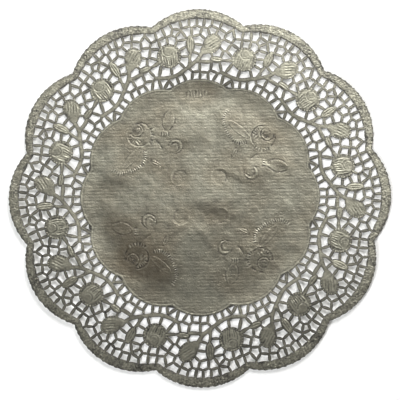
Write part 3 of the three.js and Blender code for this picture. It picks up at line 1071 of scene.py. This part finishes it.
def paper_material():
    """Bleached wood-pulp paper, the back of the foil: matt and white, with a fine fibre grain. The lumps of
    fibre are 0.9 mm apart, coarser than the real 0.3 mm so that they show."""
    material, tree = new_material("bleached paper backing")
    place = node(tree, "ShaderNodeTexCoord").outputs["Object"]
    fibre = node(
        tree, "ShaderNodeTexNoise", {"Vector": place, "Scale": 1 / (0.9 * MM), "Detail": 4.0}
    ).outputs["Fac"]
    bump = node(tree, "ShaderNodeBump", {"Strength": 0.3, "Distance": 0.06 * MM, "Height": fibre})
    colour = node(
        tree, "ShaderNodeMix",
        {"Factor": fibre, "A": (*srgb("e9e7df"), 1), "B": (*srgb("f6f5f0"), 1)},
        data_type="RGBA",
    )
    shader = node(
        tree, "ShaderNodeBsdfPrincipled",
        {"Base Color": colour.outputs["Result"], "Roughness": 0.85, "Normal": bump.outputs[0]},
    )
    node(tree, "ShaderNodeOutputMaterial", {"Surface": shader.outputs[0]})
    return material


def floor_material():
    """Matt white backdrop paper: no gloss, so that it holds only soft shadows."""
    material, tree = new_material("matt white backdrop paper")
    shader = node(tree, "ShaderNodeBsdfPrincipled", {"Base Color": (*srgb("fafafa"), 1), "Roughness": 0.9})
    node(tree, "ShaderNodeOutputMaterial", {"Surface": shader.outputs[0]})
    return material


class DoilySettings(bpy.types.PropertyGroup):
    """Sizes and colours of the sheet."""

    paper: FloatProperty(
        name="Paper", description="Thickness of the paper and its foil", default=0.00035, unit="LENGTH"
    )
    laid_pitch: FloatProperty(
        name="Laid lines", description="Spacing of the fine lines across the middle", default=0.00254,
        unit="LENGTH",
    )
    foil_colour: FloatVectorProperty(
        name="Foil", description="Colour of the foil", subtype="COLOR", default=srgb("969486")
    )
    # tarnish colour, also used for the painted shade at the lower left
    foil_tarnish_and_shade: FloatVectorProperty(
        name="Tarnish and shade", description="Colour of the foil where it is duller", subtype="COLOR",
        default=srgb("807868"),
    )
    # painted highlight colour, put on raised lines and on the rim's bright specks
    foil_highlight: FloatVectorProperty(
        name="Highlight", description="Colour of the foil where it is rubbed bright", subtype="COLOR",
        default=srgb("c4c2b2"),
    )
    # colour of real stains, and of the painted shade in grooves, along cut edges and on the rim's specks
    foil_stain_and_shade: FloatVectorProperty(
        name="Stains and shade", description="Colour of stains, grooves and cut edges", subtype="COLOR",
        default=srgb("363539"),
    )
    roughness: FloatProperty(name="Roughness", description="Dullness of the foil", default=0.4, min=0, max=1)


class StageSettings(bpy.types.PropertyGroup):
    """Light and backdrop."""

    key_power: FloatProperty(
        name="Key light", description="Soft light from the upper right", default=9.0, unit="POWER"
    )
    fill_power: FloatProperty(
        name="Fill light", description="Large low light from the left", default=23.0, unit="POWER"
    )
    card_power: FloatProperty(
        name="Card", description="Dim card over the top of the sheet", default=1.7, unit="POWER"
    )
    ceiling: FloatProperty(name="Ceiling", description="Brightness of the room over the table", default=0.03)
    walls: FloatProperty(name="Walls", description="Brightness of the room round the table", default=1.0)


class DOILY_OT_sheet(bpy.types.Operator):
    """Makes the embossed and die-cut sheet in place of its solid"""

    bl_idname = "doily.sheet"
    bl_label = "Doily sheet"

    def execute(self, context):
        settings = context.scene.doily
        bpy.ops.object.select_all(action="DESELECT")
        mesh, area = sheet_mesh(settings.paper / MM)
        mesh.materials.append(foil_material(settings))
        mesh.materials.append(paper_material())
        sheet = bpy.data.objects.new("foil_doily", mesh)
        context.collection.objects.link(sheet)
        sheet.select_set(True)
        context.view_layer.objects.active = sheet
        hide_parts("doily")
        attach(sheet, "root")
        return {"FINISHED"}


def area_light(name, place, target, power, colour):
    """A square soft light, aimed at a point."""
    bpy.ops.object.light_add(type="AREA", location=place)
    light = bpy.context.object
    light.name = name
    light.rotation_euler = (Vector(target) - Vector(place)).to_track_quat("-Z", "Y").to_euler()
    light.data.shape = "SQUARE"
    light.data.size = LIGHT_SIDE
    light.data.energy = power
    light.data.color = colour


# The photo's view: the middle of the sheet in the picture and its scale there, the camera's lean and roll in
# degrees, and its distance in metres
PICTURE_SIDE = 400
SHEET_MIDDLE = (200.11, 197.05)
MM_PER_PIXEL = 0.7837
CAMERA_LEAN = 8.4
CAMERA_ROLL = 0.76
CAMERA_DISTANCE = 2.3

# The stage, in metres
LIGHT_SIDE = 0.6
FLOOR_SIDE = 4
WALL_HEIGHT = 0.45  # how far up the bright walls reach, as the sine of the angle over the floor


class DOILY_OT_stage(bpy.types.Operator):
    """Sets up the floor, the lights and the camera"""

    bl_idname = "doily.stage"
    bl_label = "Stage"

    def execute(self, context):
        settings = context.scene.doily_stage
        bpy.ops.object.select_all(action="DESELECT")
        bpy.ops.mesh.primitive_plane_add(size=FLOOR_SIDE, location=(0, 0, 0))
        floor = context.object
        floor.name = "floor"
        floor.data.materials.append(floor_material())
        area_light("key", (0.24, 0.66, 0.71), (0, 0, 0), settings.key_power, (1.0, 0.99, 0.965))
        area_light("fill", (-0.9, -1.07, 0.98), (0, 0, 0), settings.fill_power, (0.97, 0.985, 1.0))
        area_light("card", (0.05, 0.5, 0.65), (0.05, 0.5, 0), settings.card_power, (1.0, 1.0, 0.985))
        self.add_room(context, settings)
        self.add_camera(context)
        return {"FINISHED"}

    def add_room(self, context, settings):
        """Bright walls round the table under a dim ceiling."""
        world = bpy.data.worlds.new("room")
        world.use_nodes = True
        tree = world.node_tree
        tree.nodes.clear()
        place = node(tree, "ShaderNodeTexCoord").outputs["Object"]
        height = node(tree, "ShaderNodeSeparateXYZ", {"Vector": place}).outputs["Z"]
        strength = node(
            tree, "ShaderNodeMapRange",
            {"Value": height, "From Min": 0.0, "From Max": WALL_HEIGHT,
             "To Min": settings.walls, "To Max": settings.ceiling},
        ).outputs["Result"]
        background = node(tree, "ShaderNodeBackground", {"Color": (*srgb("f4f3ee"), 1), "Strength": strength})
        node(tree, "ShaderNodeOutputWorld", {"Surface": background.outputs[0]})
        context.scene.world = world
        context.scene.view_settings.view_transform = "Standard"

    def add_camera(self, context):
        """The camera at the photo's place, so that the sheet has its size and place in the picture."""
        lean = math.radians(CAMERA_LEAN)
        right = (PICTURE_SIDE / 2 - SHEET_MIDDLE[0]) * MM_PER_PIXEL * MM
        up = (SHEET_MIDDLE[1] - PICTURE_SIDE / 2) * MM_PER_PIXEL * MM / math.cos(lean)
        rotation = Euler((lean, 0, -math.radians(CAMERA_ROLL)))
        back = rotation.to_matrix() @ Vector((0, 0, CAMERA_DISTANCE))
        bpy.ops.object.camera_add(location=Vector((right, up, 0)) + back, rotation=rotation)
        camera = context.object
        camera.name = "camera"
        camera.data.lens = camera.data.sensor_width * CAMERA_DISTANCE / (PICTURE_SIDE * MM_PER_PIXEL * MM)
        context.scene.camera = camera


class DOILY_PT_panel(bpy.types.Panel):
    """Lists the pieces in the sidebar"""

    bl_label = "Doily"
    bl_idname = "DOILY_PT_panel"
    bl_space_type = "VIEW_3D"
    bl_region_type = "UI"
    bl_category = "Doily"

    def draw(self, context):
        scene = context.scene
        for settings, operator in ((scene.doily_stage, DOILY_OT_stage), (scene.doily, DOILY_OT_sheet)):
            for name in settings.__annotations__:
                self.layout.prop(settings, name)
            self.layout.operator(operator.bl_idname)


CLASSES = (DoilySettings, StageSettings, DOILY_OT_sheet, DOILY_OT_stage, DOILY_PT_panel)


def register():
    for kind in CLASSES:
        bpy.utils.register_class(kind)
    bpy.types.Scene.doily = PointerProperty(type=DoilySettings)
    bpy.types.Scene.doily_stage = PointerProperty(type=StageSettings)


def unregister():
    del bpy.types.Scene.doily_stage
    del bpy.types.Scene.doily
    for kind in reversed(CLASSES):
        bpy.utils.unregister_class(kind)


def main():
    register()
    bpy.ops.doily.stage()
    bpy.ops.doily.sheet()


if __name__ == "__main__":
    main()
